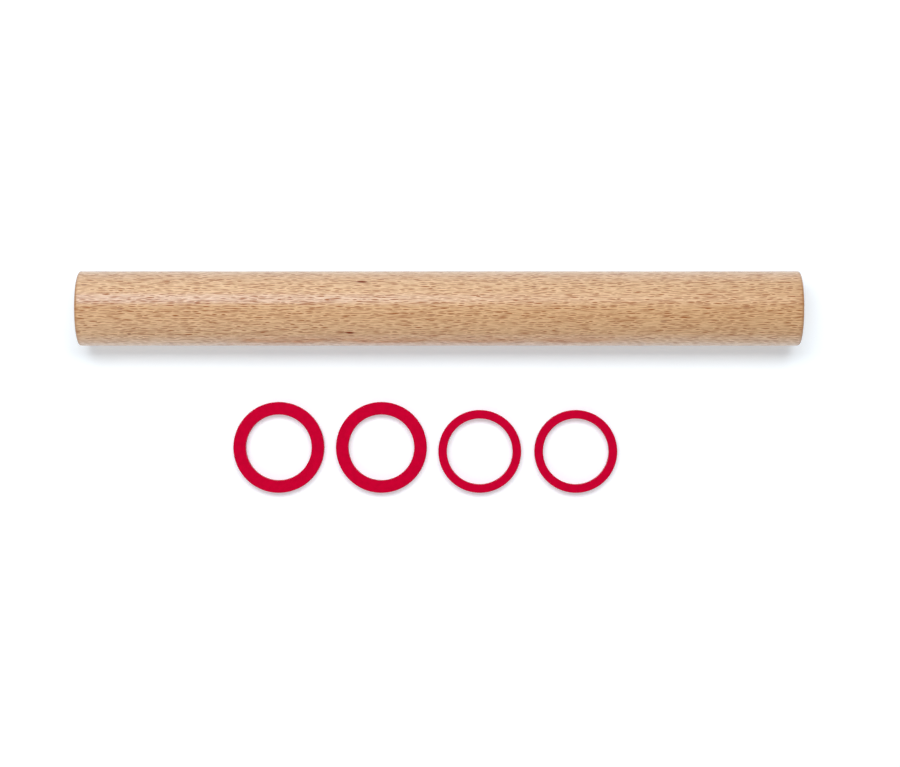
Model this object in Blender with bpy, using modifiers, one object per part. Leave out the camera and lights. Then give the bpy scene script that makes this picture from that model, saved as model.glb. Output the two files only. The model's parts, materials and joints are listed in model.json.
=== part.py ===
"""A straight beech rolling pin with four stretch-on silicone rings.

The pin is one turned dowel with eased ends and no handles. Two thick and two thin rings lie beside it.
A pair of alike rings, stretched over the two ends, holds the pin at one height over the dough. The pin
lies along X and the rings lie flat in front of it. Lengths are in metres, +Z is up, and the origin is on
the table under the middle of the whole set.
"""

from math import cos, pi, sin

import bpy

# Pin
PIN_DIAMETER = 0.0385
PIN_LENGTH = 0.372
PIN_END_ROUND = 0.0013

# Rings, relaxed. The bore is smaller than the pin by RING_GRIP, so a ring holds by its own stretch.
RING_GRIP = 0.0042
THICK_WALL = 0.0066
THIN_WALL = 0.0045
RING_WIDTH = 0.0055
RING_EDGE_ROUND = 0.0005
RING_BORE = PIN_DIAMETER - RING_GRIP

# Layout on the table
ROW_GAP = 0.02915
RING_GAPS = (0.0061, 0.006, 0.0069)
ROW_SHIFT = -0.0074

# Facets
PIN_SIDES = 96
PIN_ROUND_STEPS = 4
RING_SIDES = 80
RING_ROUND_STEPS = 3

QUARTER_TURN = pi / 2
FULL_TURN = 2 * pi
MERGE_DISTANCE = 0.00001

# Each ring, from left to right, with its wall
RINGS = (
    ("thick_ring_left", THICK_WALL),
    ("thick_ring_right", THICK_WALL),
    ("thin_ring_left", THIN_WALL),
    ("thin_ring_right", THIN_WALL),
)

BEECH_COLOUR = "CFA987"
BEECH_ROUGHNESS = 0.5
SILICONE_COLOUR = "C50432"
SILICONE_ROUGHNESS = 0.45


def clear_scene():
    """Start from an empty scene."""
    for item in list(bpy.data.objects):
        bpy.data.objects.remove(item)


def linear(hex_colour):
    """Turn an sRGB hex colour into linear red, green, blue and a full alpha."""
    channels = [int(hex_colour[i:i + 2], 16) / 255 for i in (0, 2, 4)]
    return [c / 12.92 if c <= 0.04045 else ((c + 0.055) / 1.055) ** 2.4 for c in channels] + [1]


def make_material(name, colour, roughness):
    """A plain non-metal material of one colour."""
    material = bpy.data.materials.new(name)
    material.use_nodes = True
    material.diffuse_color = linear(colour)
    shader = material.node_tree.nodes["Principled BSDF"]
    shader.inputs["Base Color"].default_value = linear(colour)
    shader.inputs["Roughness"].default_value = roughness
    shader.inputs["Metallic"].default_value = 0
    return material


def quarter_round(centre_x, centre_z, radius, start, steps):
    """Points of a quarter circle in the X-Z plane, clockwise from the start angle."""
    angles = [start - QUARTER_TURN * i / steps for i in range(steps + 1)]
    return [(centre_x + radius * cos(a), 0, centre_z + radius * sin(a)) for a in angles]


def pin_profile():
    """The pin's half outline, from the top of its axis down the outside to the bottom of its axis.

    The turned corners stand a little outside the true round, so the flats between them lie on it and
    the pin rests on a flat.
    """
    radius = PIN_DIAMETER / 2 / cos(pi / PIN_SIDES)
    half = PIN_LENGTH / 2
    core = radius - PIN_END_ROUND
    top = quarter_round(core, half - PIN_END_ROUND, PIN_END_ROUND, QUARTER_TURN, PIN_ROUND_STEPS)
    bottom = quarter_round(core, PIN_END_ROUND - half, PIN_END_ROUND, 0, PIN_ROUND_STEPS)
    return [(0, 0, half)] + top + bottom + [(0, 0, -half)]


def ring_radius(wall):
    """A relaxed ring's outer radius."""
    return RING_BORE / 2 + wall


def ring_profile(wall):
    """A ring's section, a rectangle with rounded corners, clockwise from its outer top corner."""
    inner = RING_BORE / 2 + RING_EDGE_ROUND
    outer = ring_radius(wall) - RING_EDGE_ROUND
    low = RING_EDGE_ROUND
    high = RING_WIDTH - RING_EDGE_ROUND
    corners = ((outer, high), (outer, low), (inner, low), (inner, high))
    points = []
    for i, (x, z) in enumerate(corners):
        start = QUARTER_TURN * (1 - i)
        points += quarter_round(x, z, RING_EDGE_ROUND, start, RING_ROUND_STEPS)
    return points


def profile_mesh(name, points, closed, material):
    """A chain of edges for a Screw modifier to turn."""
    edges = [(i, i + 1) for i in range(len(points) - 1)]
    if closed:
        edges.append((len(points) - 1, 0))
    mesh = bpy.data.meshes.new(name)
    mesh.from_pydata(points, edges, [])
    mesh.materials.append(material)
    return mesh


def turned_object(name, mesh, sides, collection):
    """An object whose profile is turned once round its own Z axis, with smooth rounds and flat faces."""
    item = bpy.data.objects.new(name, mesh)
    collection.objects.link(item)
    turn = item.modifiers.new("Turn", "SCREW")
    turn.axis = "Z"
    turn.angle = FULL_TURN
    turn.steps = sides
    turn.render_steps = sides
    turn.use_merge_vertices = True
    turn.merge_threshold = MERGE_DISTANCE
    turn.use_smooth_shade = True
    shading = item.modifiers.new("Flat faces", "WEIGHTED_NORMAL")
    shading.weight = 100
    return item


def make_empty(name, location, rotation, collection):
    """An empty that carries pieces."""
    item = bpy.data.objects.new(name, None)
    item.location = location
    item.rotation_euler = rotation
    collection.objects.link(item)
    return item


def layout_depth():
    """From the pin's back to the front edges of the rings."""
    widest = max(ring_radius(wall) for name, wall in RINGS)
    return PIN_DIAMETER + ROW_GAP + 2 * widest


def make_pin(collection, material):
    """The pin, turned about the axis of an empty that lies along X at the back of the set."""
    axis_place = (0, (layout_depth() - PIN_DIAMETER) / 2, PIN_DIAMETER / 2)
    axis = make_empty("pin_axis", axis_place, (0, QUARTER_TURN, 0), collection)
    mesh = profile_mesh("beech_pin", pin_profile(), False, material)
    pin = turned_object("beech_pin", mesh, PIN_SIDES, collection)
    pin.rotation_euler = (0, 0, pi / PIN_SIDES)
    pin.parent = axis


def make_rings(collection, material):
    """The rings in a row, their front edges on one line, each with its origin on its own axis."""
    row = make_empty("ring_row", (ROW_SHIFT, -layout_depth() / 2, 0), (0, 0, 0), collection)
    meshes = {
        THICK_WALL: profile_mesh("thick_ring", ring_profile(THICK_WALL), True, material),
        THIN_WALL: profile_mesh("thin_ring", ring_profile(THIN_WALL), True, material),
    }
    row_length = sum(2 * ring_radius(wall) for name, wall in RINGS) + sum(RING_GAPS)
    left_edge = -row_length / 2
    for (name, wall), gap in zip(RINGS, RING_GAPS + (0,)):
        radius = ring_radius(wall)
        ring = turned_object(name, meshes[wall], RING_SIDES, collection)
        ring.location = (left_edge + radius, radius, 0)
        ring.parent = row
        left_edge += 2 * radius + gap


def main():
    """Build the whole set."""
    clear_scene()
    collection = bpy.data.collections.new("rolling_pin")
    bpy.context.scene.collection.children.link(collection)
    make_pin(collection, make_material("oiled_beech", BEECH_COLOUR, BEECH_ROUGHNESS))
    make_rings(collection, make_material("red_silicone", SILICONE_COLOUR, SILICONE_ROUGHNESS))


main()
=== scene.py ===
"""The looks of a straight beech rolling pin and its four stretch-on silicone rings.

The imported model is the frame: every size and place that it holds is read from it. Lengths are in metres,
+Z is up, the pin lies along X and the rings lie flat in front of it.
"""

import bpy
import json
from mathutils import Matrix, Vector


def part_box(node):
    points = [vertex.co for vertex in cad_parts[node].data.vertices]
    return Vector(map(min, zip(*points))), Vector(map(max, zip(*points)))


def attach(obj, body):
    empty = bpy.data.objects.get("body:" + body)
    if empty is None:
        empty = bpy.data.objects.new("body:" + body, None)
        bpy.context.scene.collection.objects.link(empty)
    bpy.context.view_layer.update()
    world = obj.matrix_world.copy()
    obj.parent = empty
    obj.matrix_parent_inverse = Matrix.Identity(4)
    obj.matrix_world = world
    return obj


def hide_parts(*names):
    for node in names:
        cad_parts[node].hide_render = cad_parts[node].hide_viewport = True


bl_info = {
    "name": "Rolling pin and silicone rings",
    "version": (1, 0, 0),
    "blender": (4, 5, 0),
    "location": "3D View > Sidebar > Rolling pin",
    "description": "Turns an oiled beech rolling pin and moulds its silicone rings on the packed model",
    "category": "Add Mesh",
}

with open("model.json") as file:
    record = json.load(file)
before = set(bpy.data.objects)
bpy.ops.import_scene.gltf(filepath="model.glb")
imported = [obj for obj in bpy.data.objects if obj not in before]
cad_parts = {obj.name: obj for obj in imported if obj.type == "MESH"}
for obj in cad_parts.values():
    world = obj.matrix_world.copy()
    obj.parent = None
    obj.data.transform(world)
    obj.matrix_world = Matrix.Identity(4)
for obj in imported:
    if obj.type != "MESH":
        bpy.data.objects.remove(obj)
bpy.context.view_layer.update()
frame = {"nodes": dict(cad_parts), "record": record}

import json
from math import atan2, cos, pi, sin

import bmesh
import bpy
from bpy.props import FloatProperty, FloatVectorProperty, IntProperty, PointerProperty
from mathutils import Vector, noise

MM = 0.001
FULL_TURN = 2 * pi
QUARTER_TURN = pi / 2
WHITE = (1, 1, 1, 1)
PAPER_REACH = 12.0

# Names of the frame's nodes and bodies
PIN_NODE = "beech_pin"
PIN_BODY = "pin"
RING_NODES = ("thick_ring_left", "thick_ring_right", "thin_ring_left", "thin_ring_right")

# Where the tree's pith runs, across and up from the pin's axis, and its distance from the pin's top, in
# millimetres. The dowel is flat sawn, so its top shows the rays end on, as short brown flecks. The rays
# are drawn from a line just under the dowel, so the flecks keep one width all round.
PITH_MM = (-9, -70, 89)
RAY_FAN_MM = (0, -21, 40)
YEAR_MM = 3.1

# The rays' cells, along the grain and round the fan, and the longest fleck and its thickness. They are
# a little longer and thicker than real ones, so that they show from a step away.
RAY_CELL_MM = (4.8, 1.2)
RAY_LENGTH_MM = 6.8
RAY_THICKNESS_MM = 0.54
VEIN_CELL_MM = (7, 0.3, 3)

# Gum marks: how far along the pin and how far round it from the top each lies, in millimetres, its
# length and its thickness, and how dark it is
GUM_MARKS = (
    (-39.6, -14.7, 6.0, 1.2, 1.0),
    (-45.6, 14.15, 4.4, 1.4, 1.0),
    (-46.5, 14.1, 9.0, 0.9, 0.5),
    (-158.5, 14.8, 2.2, 1.0, 0.8),
    (48.3, -11.3, 2.4, 1.0, 0.6),
    (114.3, 7.2, 3.8, 1.3, 0.5),
    (-3.7, 4.0, 4.4, 0.9, 0.5),
    (-162.6, 0.8, 3.0, 1.2, 0.4),
    (-181.4, -12.6, 3.2, 0.9, 0.5),
    (17.2, 17.1, 3.2, 0.9, 0.4),
    (156.5, 0.2, 3.4, 2.2, 0.25),
)


def linear(hex_colour):
    """Linear red, green, blue and a full alpha from an sRGB hex colour."""
    channels = [int(hex_colour[i:i + 2], 16) / 255 for i in (0, 2, 4)]
    return [c / 12.92 if c <= 0.04045 else ((c + 0.055) / 1.055) ** 2.4 for c in channels] + [1]


def colour_setting(name, description, hex_colour):
    """A colour that the user can change."""
    return FloatVectorProperty(
        name=name, description=description, subtype="COLOR", size=4, min=0, max=1, default=linear(hex_colour)
    )


def pin_box_size():
    """The pin's length and diameter in the frame."""
    low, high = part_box(PIN_NODE)
    return high.x - low.x, high.z - low.z


class PinSettings(bpy.types.PropertyGroup):
    """Sizes and finish of the pin."""

    length: FloatProperty(
        name="Length", description="Length over the flat ends", unit="LENGTH", default=pin_box_size()[0]
    )
    diameter: FloatProperty(
        name="Diameter", description="Diameter of the dowel", unit="LENGTH", default=pin_box_size()[1]
    )
    end_round: FloatProperty(
        name="End round", description="Radius of the eased end edges", unit="LENGTH", default=1.3 * MM
    )
    hand_finish: FloatProperty(
        name="Hand finish", description="How far sanding left the round off true", unit="LENGTH",
        default=0.05 * MM,
    )
    sides: IntProperty(name="Sides", description="Faces round the pin", default=192, min=24)
    pale: colour_setting("Early wood", "Pale wood between the growth rings", "E2B98A")
    tan: colour_setting("Late wood", "Pinkish tan of the growth rings", "BC8450")
    fleck: colour_setting("Ray fleck", "Brown of the rays cut across", "8E4400")
    gum: colour_setting("Gum mark", "Dark brown of the gum marks", "762600")
    # Orange-brown of the oiled end faces, also laid over the eased end edges as painted shade
    end_grain_and_edge_shade: colour_setting("End grain", "Wood that drank more oil at the ends", "B17D4E")
    roughness: FloatProperty(
        name="Roughness", description="Roughness of the bare wood", subtype="FACTOR", default=0.32,
        min=0, max=1,
    )
    oil: FloatProperty(
        name="Oil", description="How much of the wood the dried oil closes", subtype="FACTOR", default=0.6,
        min=0, max=1,
    )


class RingSettings(bpy.types.PropertyGroup):
    """Sizes and finish of the rings."""

    edge_round: FloatProperty(
        name="Edge round", description="Radius of the moulded edges", unit="LENGTH", default=0.5 * MM
    )
    seam_height: FloatProperty(
        name="Seam height", description="How far the mould seam stands out", unit="LENGTH", default=0.05 * MM
    )
    sides: IntProperty(name="Sides", description="Faces round a ring", default=192, min=24)
    section_points: IntProperty(
        name="Section points", description="Points round the section", default=96, min=16
    )
    silicone: colour_setting("Silicone", "Crimson of the silicone", "C70231")
    skin: colour_setting("Skin", "Colour of the gloss on the skin", "FF4060")
    roughness: FloatProperty(
        name="Roughness", description="Roughness of the moulded skin", subtype="FACTOR", default=0.33,
        min=0, max=1,
    )


class StageSettings(bpy.types.PropertyGroup):
    """Floor, lamps and camera."""

    paper: colour_setting("Paper", "White paper as it lights the set", "E4EEFA")
    paper_seen: colour_setting("Paper seen", "White paper as the camera sees it, a little cool", "EBF3F8")
    paper_glow: FloatProperty(
        name="Paper glow", description="White that the camera adds to the paper", default=0.286
    )
    glow_colour: colour_setting("Glow colour", "Cool white that the camera adds to the paper", "F5F8FF")
    key_power: FloatProperty(name="Key power", description="Main soft box", unit="POWER", default=20.2)
    high_power: FloatProperty(
        name="Gloss power", description="Soft box whose gloss lies along the pin", unit="POWER", default=5.0
    )
    wall_power: FloatProperty(
        name="Wall power", description="White wall behind, seen only in the gloss", unit="POWER", default=11.6
    )
    gloss_colour: colour_setting("Gloss colour", "Blue of the sky in the soft box for the gloss", "73B5FF")
    wall_colour: colour_setting("Wall colour", "White of the wall behind", "F6FFFD")
    fill_power: FloatProperty(
        name="Fill power", description="White card at the front left", unit="POWER", default=4.9
    )
    low_power: FloatProperty(
        name="Low power", description="Low white cards in front and behind", unit="POWER", default=3.1
    )
    room_light: FloatProperty(name="Room light", description="Even light of the white room", default=0.16)
    lens: FloatProperty(name="Lens", description="Focal length", unit="CAMERA", default=98.9)
    camera_place: FloatVectorProperty(
        name="Camera place", description="The camera looks straight down from here", subtype="XYZ",
        unit="LENGTH", default=(5.5 * MM, -0.42 * MM, 1296.5 * MM)
    )


def add(tree, kind, inputs=(), **settings):
    """Add a node with its settings, and set or link its inputs."""
    item = tree.nodes.new(kind)
    for name, value in settings.items():
        setattr(item, name, value)
    for name, value in dict(inputs).items():
        if isinstance(value, bpy.types.NodeSocket):
            tree.links.new(value, item.inputs[name])
        else:
            item.inputs[name].default_value = value
    return item


def new_material(name):
    """An empty node material with its output node."""
    material = bpy.data.materials.new(name)
    material.use_nodes = True
    material.node_tree.nodes.clear()
    return material, material.node_tree


def pin_space(tree):
    """Places on the pin in millimetres from the middle of its axis."""
    low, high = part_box(PIN_NODE)
    middle = (low + high) / 2
    place = add(tree, "ShaderNodeTexCoord")
    return add(
        tree, "ShaderNodeMapping",
        {"Vector": place.outputs["Object"], "Location": -middle / MM, "Scale": [1 / MM] * 3},
    ).outputs[0]


def stretched(tree, place, size, shift=(0, 0, 0)):
    """Places counted in cells of this size, so that a pattern of scale 1 has cells of that size."""
    return add(
        tree, "ShaderNodeMapping",
        {"Vector": place, "Location": shift, "Scale": [1 / side for side in size] + [0] * (3 - len(size))},
    ).outputs[0]


def wandering(tree, place, cell, reach):
    """Places pushed to and fro by up to about the reach, over cells of this size."""
    field = add(tree, "ShaderNodeTexNoise", {"Vector": stretched(tree, place, cell), "Scale": 1, "Detail": 1})
    centred = add(
        tree, "ShaderNodeVectorMath", {0: field.outputs["Color"], 1: (0.5, 0.5, 0.5)}, operation="SUBTRACT"
    )
    return add(
        tree, "ShaderNodeVectorMath", {0: centred.outputs[0], 1: [2 * r for r in reach], 2: place},
        operation="MULTIPLY_ADD",
    ).outputs[0]


def trunk_space(tree, place, pith):
    """Places in the trunk that the dowel came from: along the grain, round the pith and out from it."""
    pith_across, pith_up, pith_to_top = pith
    parts = add(tree, "ShaderNodeSeparateXYZ", {0: place})
    across = add(tree, "ShaderNodeMath", {0: parts.outputs[1], 1: pith_across}, operation="SUBTRACT")
    up = add(tree, "ShaderNodeMath", {0: parts.outputs[2], 1: pith_up}, operation="SUBTRACT")
    bearing = add(tree, "ShaderNodeMath", {0: across.outputs[0], 1: up.outputs[0]}, operation="ARCTAN2")
    around = add(tree, "ShaderNodeMath", {0: bearing.outputs[0], 1: pith_to_top}, operation="MULTIPLY")
    spoke = add(tree, "ShaderNodeCombineXYZ", {1: across.outputs[0], 2: up.outputs[0]})
    out = add(tree, "ShaderNodeVectorMath", {0: spoke.outputs[0]}, operation="LENGTH")
    return add(
        tree, "ShaderNodeCombineXYZ", {0: parts.outputs[0], 1: around.outputs[0], 2: out.outputs["Value"]}
    ).outputs[0]


def ramp(tree, value, start, stop, low=0.0, high=1.0, kind="SMOOTHSTEP"):
    """A value eased from low to high as it goes from start to stop."""
    return add(
        tree, "ShaderNodeMapRange",
        {"Value": value, "From Min": start, "From Max": stop, "To Min": low, "To Max": high},
        interpolation_type=kind,
    ).outputs[0]


def ray_ends(tree, trunk, cell, length, thickness):
    """Rays of the wood cut end on: a thin pointed fleck in each cell, and the paler wood beside it.

    A ray runs straight out from the pith, so its place along the grain and round the pith settles it. The
    cells lie in rows along the grain, each row shifted at random, as a ray keeps clear of the next one.
    """
    parts = add(tree, "ShaderNodeSeparateXYZ", {0: stretched(tree, trunk, cell, (0, 3.1, 0))})
    row = add(tree, "ShaderNodeMath", {0: parts.outputs[1]}, operation="FLOOR").outputs[0]
    shift = add(tree, "ShaderNodeTexWhiteNoise", {"W": row}, noise_dimensions="1D").outputs["Value"]
    column_place = add(
        tree, "ShaderNodeMath", {0: shift, 1: 9.0, 2: parts.outputs[0]}, operation="MULTIPLY_ADD"
    ).outputs[0]
    column = add(tree, "ShaderNodeMath", {0: column_place}, operation="FLOOR").outputs[0]
    corner = add(tree, "ShaderNodeCombineXYZ", {0: column, 1: row}).outputs[0]
    own = add(tree, "ShaderNodeTexWhiteNoise", {"Vector": corner}, noise_dimensions="2D")
    chance = add(tree, "ShaderNodeSeparateColor", {0: own.outputs["Color"]})
    inside = add(tree, "ShaderNodeCombineXYZ", {0: column_place, 1: parts.outputs[1]}).outputs[0]
    inside = add(tree, "ShaderNodeVectorMath", {0: inside, 1: corner}, operation="SUBTRACT").outputs[0]
    middle_along = ramp(tree, chance.outputs[0], 0, 1, 0.35, 0.65, "LINEAR")
    middle_across = ramp(tree, chance.outputs[1], 0, 1, 0.25, 0.75, "LINEAR")
    middle = add(tree, "ShaderNodeCombineXYZ", {0: middle_along, 1: middle_across}).outputs[0]
    offset = add(tree, "ShaderNodeVectorMath", {0: inside, 1: middle}, operation="SUBTRACT").outputs[0]
    offset = add(tree, "ShaderNodeVectorMath", {0: offset, 1: (*cell, 0)}, operation="MULTIPLY").outputs[0]
    parts = add(tree, "ShaderNodeSeparateXYZ", {0: offset})
    half_length = ramp(tree, own.outputs["Value"], 0, 1, length * 0.2, length * 0.5, "LINEAR")
    along = add(tree, "ShaderNodeMath", {0: parts.outputs[0], 1: half_length}, operation="DIVIDE").outputs[0]
    along = add(tree, "ShaderNodeMath", {0: along, 1: along}, operation="MULTIPLY").outputs[0]
    across = add(tree, "ShaderNodeMath", {0: parts.outputs[1], 1: thickness / 2}, operation="DIVIDE")
    across = add(tree, "ShaderNodeMath", {0: across.outputs[0]}, operation="ABSOLUTE").outputs[0]
    away = add(tree, "ShaderNodeMath", {0: along, 1: across}, operation="ADD").outputs[0]
    dark = add(tree, "ShaderNodeMath", {0: chance.outputs[2], 1: 0.5}, operation="POWER").outputs[0]
    fleck = add(tree, "ShaderNodeMath", {0: ramp(tree, away, 1.2, 0.4), 1: dark}, operation="MULTIPLY")
    beside = add(tree, "ShaderNodeMath", {0: ramp(tree, away, 3.4, 1.2), 1: dark}, operation="MULTIPLY")
    return fleck.outputs[0], beside.outputs[0]


def growth_bands(tree, trunk):
    """The yearly rings: soft bands of late wood."""
    bent = wandering(tree, trunk, (70, 14, 9), (0, 0, 1.6))
    out = add(tree, "ShaderNodeSeparateXYZ", {0: bent}).outputs[2]
    years = add(tree, "ShaderNodeMath", {0: out, 1: YEAR_MM}, operation="DIVIDE").outputs[0]
    part = add(tree, "ShaderNodeMath", {0: years}, operation="FRACT").outputs[0]
    rise = ramp(tree, part, 0.25, 0.9)
    fall = ramp(tree, part, 0.92, 1.0, 1, 0)
    return add(tree, "ShaderNodeMath", {0: rise, 1: fall}, operation="MULTIPLY").outputs[0]


def streaks(tree, trunk, cell, detail, reach=0.2):
    """Uneven colour drawn out along the grain, from 0 to 1."""
    field = add(
        tree, "ShaderNodeTexNoise",
        {"Vector": stretched(tree, trunk, cell), "Scale": 1, "Detail": detail, "Roughness": 0.55},
    )
    return ramp(tree, field.outputs[0], 0.5 - reach, 0.5 + reach, kind="LINEAR")


def gum_marks(tree, place):
    """Dark gum marks at their own places round the pin, as spindles along the grain."""
    parts = add(tree, "ShaderNodeSeparateXYZ", {0: place})
    bearing = add(tree, "ShaderNodeMath", {0: parts.outputs[1], 1: parts.outputs[2]}, operation="ARCTAN2")
    radius = frame["record"]["size"]["bbox_m"][2] / MM / 2
    round_top = add(tree, "ShaderNodeMath", {0: bearing.outputs[0], 1: -radius}, operation="MULTIPLY")
    flat = add(tree, "ShaderNodeCombineXYZ", {0: parts.outputs[0], 1: round_top.outputs[0]}).outputs[0]
    flat = wandering(tree, flat, (3, 1, 1), (0, 0.25, 0))
    total = 0.0
    for along, around, length, thickness, dark in GUM_MARKS:
        shifted = add(tree, "ShaderNodeVectorMath", {0: flat, 1: (along, around, 0)}, operation="SUBTRACT")
        scaled = stretched(tree, shifted.outputs[0], (length / 2, thickness / 2, 1))
        away = add(tree, "ShaderNodeVectorMath", {0: scaled}, operation="LENGTH").outputs["Value"]
        spot = ramp(tree, away, 1.4, 0.5, 0, dark)
        total = add(tree, "ShaderNodeMath", {0: total, 1: spot}, operation="MAXIMUM").outputs[0]
    upper = ramp(tree, parts.outputs[2], -2, 2)
    return add(tree, "ShaderNodeMath", {0: total, 1: upper}, operation="MULTIPLY").outputs[0]


def blend_colour(tree, share, first, second):
    """One colour laid over another by a share."""
    mixed = add(tree, "ShaderNodeMix", data_type="RGBA")
    sockets = {mixed.inputs[0]: share, mixed.inputs[6]: first, mixed.inputs[7]: second}
    for socket, value in sockets.items():
        if isinstance(value, bpy.types.NodeSocket):
            tree.links.new(value, socket)
        else:
            socket.default_value = value
    return mixed.outputs[2]


def oiled_beech(settings):
    """Steamed European beech, turned, sanded and oiled.

    A pale pinkish tan with short brown ray flecks on its flat-sawn face, soft growth bands, end grain that
    drinks more oil and turns orange-brown, with painted shade in that colour over the eased end edges, and a
    satin gloss that breaks up over the pores.
    """
    material, tree = new_material("beech_turned_and_oiled")
    place = pin_space(tree)
    wavy = wandering(tree, place, (34, 9, 9), (0, 0.9, 0.9))
    wavy = wandering(tree, wavy, (6, 2.5, 2.5), (0, 0.38, 0.38))
    trunk = trunk_space(tree, wavy, PITH_MM)
    fan = trunk_space(tree, wavy, RAY_FAN_MM)

    # Colour of the wood itself
    years = growth_bands(tree, trunk)
    broad = streaks(tree, trunk, (60, 6, 6), 1)
    narrow = streaks(tree, fan, (11, 0.42, 3), 1)
    late = add(tree, "ShaderNodeMath", {0: years, 1: 0.12, 2: -0.1}, operation="MULTIPLY_ADD").outputs[0]
    late = add(tree, "ShaderNodeMath", {0: broad, 1: 0.06, 2: late}, operation="MULTIPLY_ADD").outputs[0]
    late = add(tree, "ShaderNodeMath", {0: narrow, 1: 0.38, 2: late}, operation="MULTIPLY_ADD").outputs[0]

    # Rays cut across show as flecks with paler wood beside them
    rays, beside = ray_ends(tree, fan, RAY_CELL_MM, RAY_LENGTH_MM, RAY_THICKNESS_MM)
    veins = add(
        tree, "ShaderNodeTexNoise",
        {"Vector": stretched(tree, fan, VEIN_CELL_MM), "Scale": 1, "Detail": 1, "Roughness": 0.4},
    )
    veins = ramp(tree, veins.outputs[0], 0.52, 0.3, 0, 0.8, "LINEAR")
    flecks = add(tree, "ShaderNodeMath", {0: rays, 1: veins}, operation="MAXIMUM").outputs[0]
    late = add(tree, "ShaderNodeMath", {0: beside, 1: -0.5, 2: late}, operation="MULTIPLY_ADD").outputs[0]
    wood = blend_colour(tree, late, settings.pale, settings.tan)
    wood = blend_colour(tree, flecks, wood, settings.fleck)
    gum = gum_marks(tree, place)
    wood = blend_colour(tree, gum, wood, settings.gum)
    open_grain = add(tree, "ShaderNodeMath", {0: flecks, 1: gum}, operation="MAXIMUM").outputs[0]

    # End grain: the oiled end faces' own orange-brown, which runs on as painted shade over the eased end
    # edges
    along = add(tree, "ShaderNodeSeparateXYZ", {0: place}).outputs[0]
    from_middle = add(tree, "ShaderNodeMath", {0: along}, operation="ABSOLUTE").outputs[0]
    half = settings.length / MM / 2
    # Painted shade: the end-grain colour starts 1.9 mm before each end, so it darkens the barrel next to the
    # eased edge and the eased edge itself
    oil = ramp(tree, from_middle, half - 1.9, half - 0.5, 0, 0.75)
    wood = blend_colour(tree, oil, wood, settings.end_grain_and_edge_shade)
    end_face = ramp(tree, from_middle, half - 0.5, half - 0.1)
    open_grain = add(tree, "ShaderNodeMath", {0: open_grain, 1: end_face}, operation="MAXIMUM").outputs[0]

    # Gloss and relief: pores and flecks lie a little low and are duller
    fibre = streaks(tree, trunk, (3, 0.25, 0.25), 2)
    roughness = ramp(tree, flecks, 0, 1, settings.roughness, settings.roughness + 0.15, "LINEAR")
    height = add(tree, "ShaderNodeMath", {0: flecks, 1: -0.6, 2: fibre}, operation="MULTIPLY_ADD").outputs[0]
    relief = add(tree, "ShaderNodeBump", {"Height": height, "Strength": 0.14, "Distance": 0.05 * MM})
    skin = add(tree, "ShaderNodeBump", {"Height": height, "Strength": 0.08, "Distance": 0.05 * MM})
    shine = ramp(tree, open_grain, 0, 1, 1.0, 0.15, "LINEAR")
    film = ramp(tree, open_grain, 0, 1, settings.oil, settings.oil * 0.15, "LINEAR")
    shader = add(
        tree, "ShaderNodeBsdfPrincipled",
        {"Base Color": wood, "Roughness": roughness, "Normal": relief.outputs[0], "Specular IOR Level": shine,
         "Coat Weight": film, "Coat Roughness": 0.11, "Coat Normal": skin.outputs[0]},
    )
    add(tree, "ShaderNodeOutputMaterial", {0: shader.outputs[0]})
    return material


def moulded_silicone(settings):
    """Platinum-cured silicone rubber, moulded in a finely blasted tool.

    A saturated crimson with a soft satin skin, hardly any colour change, and a very fine grain.
    """
    material, tree = new_material("silicone_moulded_satin")
    place = add(tree, "ShaderNodeTexCoord").outputs["Object"]
    millimetres = stretched(tree, place, (MM, MM, MM))
    clouds = add(tree, "ShaderNodeTexNoise", {"Vector": millimetres, "Scale": 0.35, "Detail": 3})
    deep = [c * 0.94 for c in settings.silicone[:3]] + [1]
    light = [min(1, c * 1.06) for c in settings.silicone[:3]] + [1]
    colour = blend_colour(tree, ramp(tree, clouds.outputs[0], 0.3, 0.7), deep, light)
    grain = add(tree, "ShaderNodeTexNoise", {"Vector": millimetres, "Scale": 5, "Detail": 2})
    relief = add(
        tree, "ShaderNodeBump", {"Height": grain.outputs[0], "Strength": 0.25, "Distance": 0.02 * MM}
    )
    shader = add(
        tree, "ShaderNodeBsdfPrincipled",
        {"Base Color": colour, "Roughness": settings.roughness, "IOR": 1.41, "Specular Tint": settings.skin,
         "Normal": relief.outputs[0]},
    )
    add(tree, "ShaderNodeOutputMaterial", {0: shader.outputs[0]})
    return material


def white_paper(settings):
    """Matt white paper, a little lighter to the camera than it is lit, so it stays white round the shadow."""
    material, tree = new_material("paper_white_matt")
    ray = add(tree, "ShaderNodeLightPath")
    seen = ray.outputs["Is Camera Ray"]
    for kind in ("Is Glossy Ray", "Is Transmission Ray"):
        seen = add(tree, "ShaderNodeMath", {0: seen, 1: ray.outputs[kind]}, operation="MAXIMUM").outputs[0]
    glow = add(tree, "ShaderNodeMath", {0: seen, 1: settings.paper_glow}, operation="MULTIPLY")
    colour = blend_colour(tree, seen, settings.paper, settings.paper_seen)
    shader = add(
        tree, "ShaderNodeBsdfPrincipled",
        {"Base Color": colour, "Roughness": 1.0, "Specular IOR Level": 0.0,
         "Emission Color": settings.glow_colour, "Emission Strength": glow.outputs[0]},
    )
    add(tree, "ShaderNodeOutputMaterial", {0: shader.outputs[0]})
    return material


def link_object(name, mesh):
    """An object in the scene, at the origin, unturned and unscaled."""
    item = bpy.data.objects.new(name, mesh)
    bpy.context.scene.collection.objects.link(item)
    return item


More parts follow.
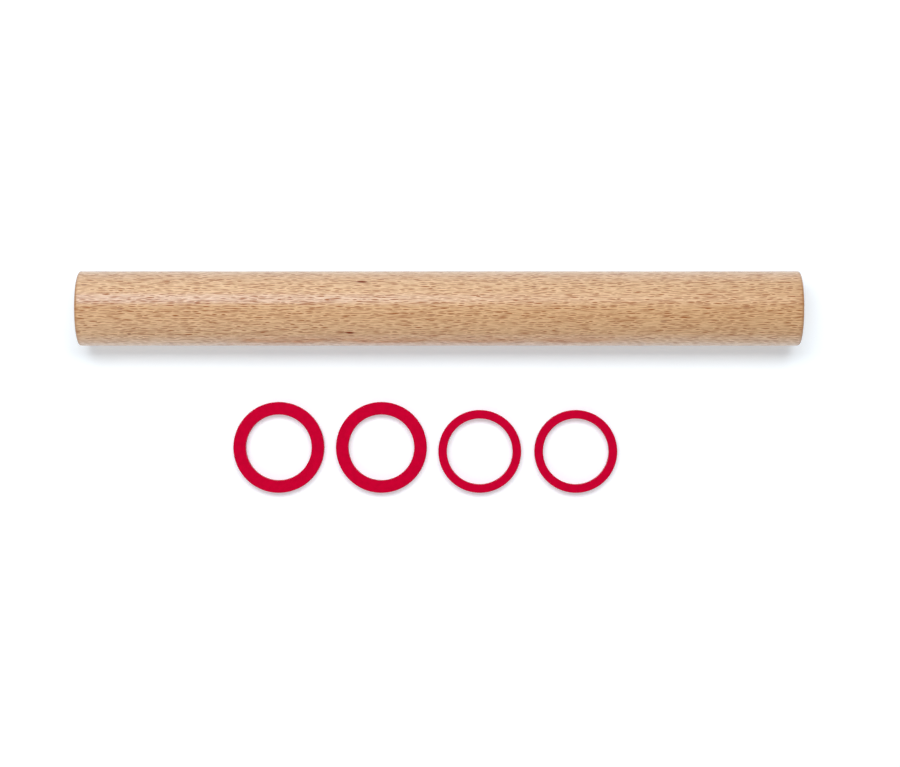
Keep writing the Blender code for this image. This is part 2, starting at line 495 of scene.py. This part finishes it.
def pin_outline(settings):
    """Half the pin's outline: how far along and how far out, from one end's middle to the other's."""
    half = settings.length / 2
    radius = settings.diameter / 2
    ease = settings.end_round
    face = [(half, radius * share) for share in (0, 0.3, 0.6, 0.85)]
    steps = 10
    turns = [QUARTER_TURN * i / steps for i in range(steps + 1)]
    corner = [(half - ease + ease * cos(turn), radius - ease + ease * sin(turn)) for turn in turns]
    right = face + corner
    spacing = 2 * MM
    count = int(2 * (half - ease) / spacing)
    barrel = [((half - ease) * (1 - 2 * i / count), radius) for i in range(1, count)]
    left = [(-x, r) for x, r in reversed(right)]
    return right + barrel + left


def turned_pin(settings):
    """The pin's mesh, turned round its axis and then left slightly off true, as sanding leaves it."""
    low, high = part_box(PIN_NODE)
    middle = (low + high) / 2
    shape = bmesh.new()
    points = [shape.verts.new((x, 0, r)) for x, r in pin_outline(settings)]
    chain = [shape.edges.new(pair) for pair in zip(points, points[1:])]
    bmesh.ops.spin(
        shape, geom=points + chain, cent=(0, 0, 0), axis=(1, 0, 0), angle=FULL_TURN, steps=settings.sides,
        use_merge=True,
    )
    bmesh.ops.remove_doubles(shape, verts=shape.verts, dist=0.001 * MM)
    bmesh.ops.recalc_face_normals(shape, faces=shape.faces)
    for vertex in shape.verts:
        x, y, z = vertex.co
        out = Vector((0, y, z))
        wave = noise.noise(Vector((x / (14 * MM), y / (7 * MM), z / (7 * MM))))
        vertex.co += out * (settings.hand_finish * wave / (settings.diameter / 2))
        vertex.co += middle
    mesh = bpy.data.meshes.new(PIN_NODE)
    shape.to_mesh(mesh)
    shape.free()
    mesh.shade_smooth()
    return mesh


def ring_sizes(node):
    """A ring's middle on the table, its outer and bore radii and its width, read from its node."""
    low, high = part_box(node)
    middle = Vector(((low.x + high.x) / 2, (low.y + high.y) / 2, low.z))
    reach = [(vertex.co - middle).xy.length for vertex in frame["nodes"][node].data.vertices]
    return middle, max(reach), min(reach), high.z - low.z


def ring_tree():
    """A node tree that sweeps a rounded section round a circle, with a fine mould seam half way up."""
    tree = bpy.data.node_groups.new("Moulded ring", "GeometryNodeTree")
    sockets = (
        ("Outer radius", "NodeSocketFloat"),
        ("Bore radius", "NodeSocketFloat"),
        ("Width", "NodeSocketFloat"),
        ("Edge round", "NodeSocketFloat"),
        ("Seam height", "NodeSocketFloat"),
        ("Sides", "NodeSocketInt"),
        ("Section points", "NodeSocketInt"),
        ("Middle", "NodeSocketVector"),
        ("Material", "NodeSocketMaterial"),
    )
    for name, kind in sockets:
        tree.interface.new_socket(name, in_out="INPUT", socket_type=kind)
    tree.interface.new_socket("Ring", in_out="OUTPUT", socket_type="NodeSocketGeometry")
    sizes = add(tree, "NodeGroupInput").outputs

    wall = add(
        tree, "ShaderNodeMath", {0: sizes["Outer radius"], 1: sizes["Bore radius"]}, operation="SUBTRACT"
    ).outputs[0]
    reach = add(
        tree, "ShaderNodeMath", {0: sizes["Outer radius"], 1: sizes["Bore radius"]}, operation="ADD"
    ).outputs[0]
    path_radius = add(tree, "ShaderNodeMath", {0: reach, 1: 0.5}, operation="MULTIPLY").outputs[0]

    # The section: a rectangle with rounded corners and a fine ridge half way up each side
    box = add(tree, "GeometryNodeCurvePrimitiveQuadrilateral", {"Width": wall, "Height": sizes["Width"]})
    rounded = add(
        tree, "GeometryNodeFilletCurve",
        {"Curve": box.outputs[0], "Radius": sizes["Edge round"], "Count": 8, "Limit Radius": True},
        mode="POLY",
    )
    even = add(
        tree, "GeometryNodeResampleCurve", {"Curve": rounded.outputs[0], "Count": sizes["Section points"]}
    )
    place = add(tree, "GeometryNodeInputPosition").outputs[0]
    across = add(tree, "ShaderNodeSeparateXYZ", {0: place})
    height = add(tree, "ShaderNodeMath", {0: across.outputs[1]}, operation="ABSOLUTE").outputs[0]
    seam = ramp(tree, height, 0.3 * MM, 0, 0, 1)
    side = add(tree, "ShaderNodeMath", {0: across.outputs[0]}, operation="SIGN").outputs[0]
    lift = add(tree, "ShaderNodeMath", {0: seam, 1: sizes["Seam height"]}, operation="MULTIPLY").outputs[0]
    push = add(tree, "ShaderNodeMath", {0: lift, 1: side}, operation="MULTIPLY").outputs[0]
    offset = add(tree, "ShaderNodeCombineXYZ", {0: push}).outputs[0]
    section = add(tree, "GeometryNodeSetPosition", {"Geometry": even.outputs[0], "Offset": offset})

    # The sweep, lifted so that the ring stands on the table
    circle = add(
        tree, "GeometryNodeCurvePrimitiveCircle", {"Resolution": sizes["Sides"], "Radius": path_radius},
        mode="RADIUS",
    )
    level = add(tree, "GeometryNodeSetCurveNormal", {"Curve": circle.outputs[0]}, mode="Z_UP")
    sweep = add(
        tree, "GeometryNodeCurveToMesh", {"Curve": level.outputs[0], "Profile Curve": section.outputs[0]}
    )
    half = add(tree, "ShaderNodeMath", {0: sizes["Width"], 1: 0.5}, operation="MULTIPLY").outputs[0]
    rise = add(tree, "ShaderNodeCombineXYZ", {2: half}).outputs[0]
    target = add(tree, "ShaderNodeVectorMath", {0: rise, 1: sizes["Middle"]}, operation="ADD").outputs[0]
    placed = add(tree, "GeometryNodeTransform", {"Geometry": sweep.outputs[0], "Translation": target})
    smooth = add(tree, "GeometryNodeSetShadeSmooth", {0: placed.outputs[0]})
    real = add(tree, "GeometryNodeRealizeInstances", {0: smooth.outputs[0]})
    dressed = add(
        tree, "GeometryNodeSetMaterial", {"Geometry": real.outputs[0], "Material": sizes["Material"]}
    )
    add(tree, "NodeGroupOutput", {0: dressed.outputs[0]})
    return tree


def moulded_ring(node, tree, settings, material):
    """One ring's plain mesh, made by the node tree from the sizes of its node."""
    middle, outer, bore, width = ring_sizes(node)
    values = {
        "Outer radius": outer,
        "Bore radius": bore,
        "Width": width,
        "Edge round": settings.edge_round,
        "Seam height": settings.seam_height,
        "Sides": settings.sides,
        "Section points": settings.section_points,
        "Middle": middle,
        "Material": material,
    }
    carrier = link_object(node + "_moulding", bpy.data.meshes.new(node))
    modifier = carrier.modifiers.new("Moulded ring", "NODES")
    modifier.node_group = tree
    for socket in tree.interface.items_tree:
        if socket.in_out == "INPUT":
            modifier[socket.identifier] = values[socket.name]
    bpy.context.view_layer.update()
    graph = bpy.context.evaluated_depsgraph_get()
    mesh = bpy.data.meshes.new_from_object(carrier.evaluated_get(graph))
    carrier.modifiers.remove(modifier)
    bpy.data.objects.remove(carrier)
    mesh.name = node
    return mesh


def soft_box(name, power, size, place, fade_from=1.0, colour=WHITE):
    """A rectangular lamp that faces the pin's line and fades out towards its right edge."""
    light = bpy.data.lights.new(name, "AREA")
    light.shape = "RECTANGLE"
    light.size, light.size_y = size
    light.energy = power
    light.use_nodes = True
    tree = light.node_tree
    tree.nodes.clear()
    across = add(tree, "ShaderNodeSeparateXYZ", {0: add(tree, "ShaderNodeNewGeometry").outputs["Parametric"]})
    glow = ramp(tree, across.outputs[0], fade_from, 1.0, 1, 0 if fade_from < 1 else 1)
    shine = add(tree, "ShaderNodeEmission", {"Color": colour, "Strength": glow})
    add(tree, "ShaderNodeOutputLight", {0: shine.outputs[0]})
    lamp = bpy.data.objects.new(name, light)
    lamp.location = place
    lamp.rotation_euler = (-atan2(place[1], place[2]), 0, 0)
    bpy.context.scene.collection.objects.link(lamp)
    return lamp


class ROLLINGPIN_OT_turn_pin(bpy.types.Operator):
    """Turn the beech pin and oil it"""

    bl_idname = "rolling_pin.turn_pin"
    bl_label = "Turn the pin"

    def execute(self, context):
        settings = context.scene.rolling_pin_pin
        mesh = turned_pin(settings)
        mesh.materials.append(oiled_beech(settings))
        pin = link_object("turned_beech_pin", mesh)
        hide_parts(PIN_NODE)
        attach(pin, PIN_BODY)
        return {"FINISHED"}


class ROLLINGPIN_OT_mould_rings(bpy.types.Operator):
    """Mould the thick and thin silicone rings"""

    bl_idname = "rolling_pin.mould_rings"
    bl_label = "Mould the rings"

    def execute(self, context):
        settings = context.scene.rolling_pin_rings
        material = moulded_silicone(settings)
        tree = ring_tree()
        for node in RING_NODES:
            ring = link_object("moulded_" + node, moulded_ring(node, tree, settings, material))
            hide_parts(node)
            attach(ring, node)
        return {"FINISHED"}


class ROLLINGPIN_OT_set_stage(bpy.types.Operator):
    """Lay the white paper and set the lamps and the camera"""

    bl_idname = "rolling_pin.set_stage"
    bl_label = "Set the stage"

    def execute(self, context):
        settings = context.scene.rolling_pin_stage
        self.lay_paper(settings)
        self.hang_lamps(settings)
        self.light_room(context, settings)
        self.place_camera(context, settings)
        context.scene.view_settings.view_transform = "Standard"
        return {"FINISHED"}

    def lay_paper(self, settings):
        """A wide sheet of white paper just under the set."""
        shape = bmesh.new()
        bmesh.ops.create_grid(shape, x_segments=1, y_segments=1, size=PAPER_REACH)
        mesh = bpy.data.meshes.new("paper")
        shape.to_mesh(mesh)
        shape.free()
        mesh.materials.append(white_paper(settings))
        link_object("paper", mesh)

    def hang_lamps(self, settings):
        """A key from above, a card at the front left, low cards, and two lamps seen only in the gloss.

        The key and the low cards light the set without a reflection of their own.
        """
        matt_only = (
            soft_box("key_soft_box", settings.key_power, (1.4, 0.6), (-0.03, 0.57, 1.5)),
            soft_box("low_front_card", settings.low_power, (1.6, 0.6), (0, -1, 0.47)),
            soft_box("low_back_card", settings.low_power / 2, (1.6, 0.4), (0, 1, 0.35)),
        )
        for lamp in matt_only:
            lamp.visible_glossy = False
        gloss_only = (
            soft_box(
                "gloss_soft_box", settings.high_power, (0.9, 0.7), (-0.25, 0.73, 1.31), 0.45,
                settings.gloss_colour,
            ),
            soft_box(
                "back_wall", settings.wall_power, (1.6, 1.56), (-0.1, 0.98, 0.69), 0.5, settings.wall_colour
            ),
        )
        for lamp in gloss_only:
            lamp.visible_diffuse = False
        soft_box("front_card", settings.fill_power, (1.3, 1.88), (-0.42, -0.8, 0.89), 0.5)

    def light_room(self, context, settings):
        """Even light of a pale room."""
        world = bpy.data.worlds.new("white_room")
        world.use_nodes = True
        tree = world.node_tree
        tree.nodes.clear()
        room = add(
            tree, "ShaderNodeBackground", {"Color": WHITE, "Strength": settings.room_light}
        )
        add(tree, "ShaderNodeOutputWorld", {0: room.outputs[0]})
        context.scene.world = world

    def place_camera(self, context, settings):
        """A long lens that looks straight down, with +Y at the top of the picture."""
        lens = bpy.data.cameras.new("overhead")
        lens.lens = settings.lens
        camera = bpy.data.objects.new("overhead", lens)
        camera.location = settings.camera_place
        context.scene.collection.objects.link(camera)
        context.scene.camera = camera


class ROLLINGPIN_PT_sidebar(bpy.types.Panel):
    """Buttons for the pin, the rings and the stage"""

    bl_label = "Rolling pin"
    bl_idname = "ROLLINGPIN_PT_sidebar"
    bl_space_type = "VIEW_3D"
    bl_region_type = "UI"
    bl_category = "Rolling pin"

    def draw(self, context):
        for operator, group in (
            ("rolling_pin.turn_pin", context.scene.rolling_pin_pin),
            ("rolling_pin.mould_rings", context.scene.rolling_pin_rings),
            ("rolling_pin.set_stage", context.scene.rolling_pin_stage),
        ):
            box = self.layout.box()
            box.operator(operator)
            for name in group.__annotations__:
                box.prop(group, name)


CLASSES = (
    PinSettings,
    RingSettings,
    StageSettings,
    ROLLINGPIN_OT_turn_pin,
    ROLLINGPIN_OT_mould_rings,
    ROLLINGPIN_OT_set_stage,
    ROLLINGPIN_PT_sidebar,
)


def register():
    """Register the classes and give the scene its settings."""
    for item in CLASSES:
        bpy.utils.register_class(item)
    bpy.types.Scene.rolling_pin_pin = PointerProperty(type=PinSettings)
    bpy.types.Scene.rolling_pin_rings = PointerProperty(type=RingSettings)
    bpy.types.Scene.rolling_pin_stage = PointerProperty(type=StageSettings)


def unregister():
    """Take the settings and the classes away again."""
    del bpy.types.Scene.rolling_pin_stage
    del bpy.types.Scene.rolling_pin_rings
    del bpy.types.Scene.rolling_pin_pin
    for item in reversed(CLASSES):
        bpy.utils.unregister_class(item)


def main():
    """Register the add-on and make everything in order."""
    register()
    bpy.ops.rolling_pin.set_stage()
    bpy.ops.rolling_pin.turn_pin()
    bpy.ops.rolling_pin.mould_rings()


if __name__ == "__main__":
    main()
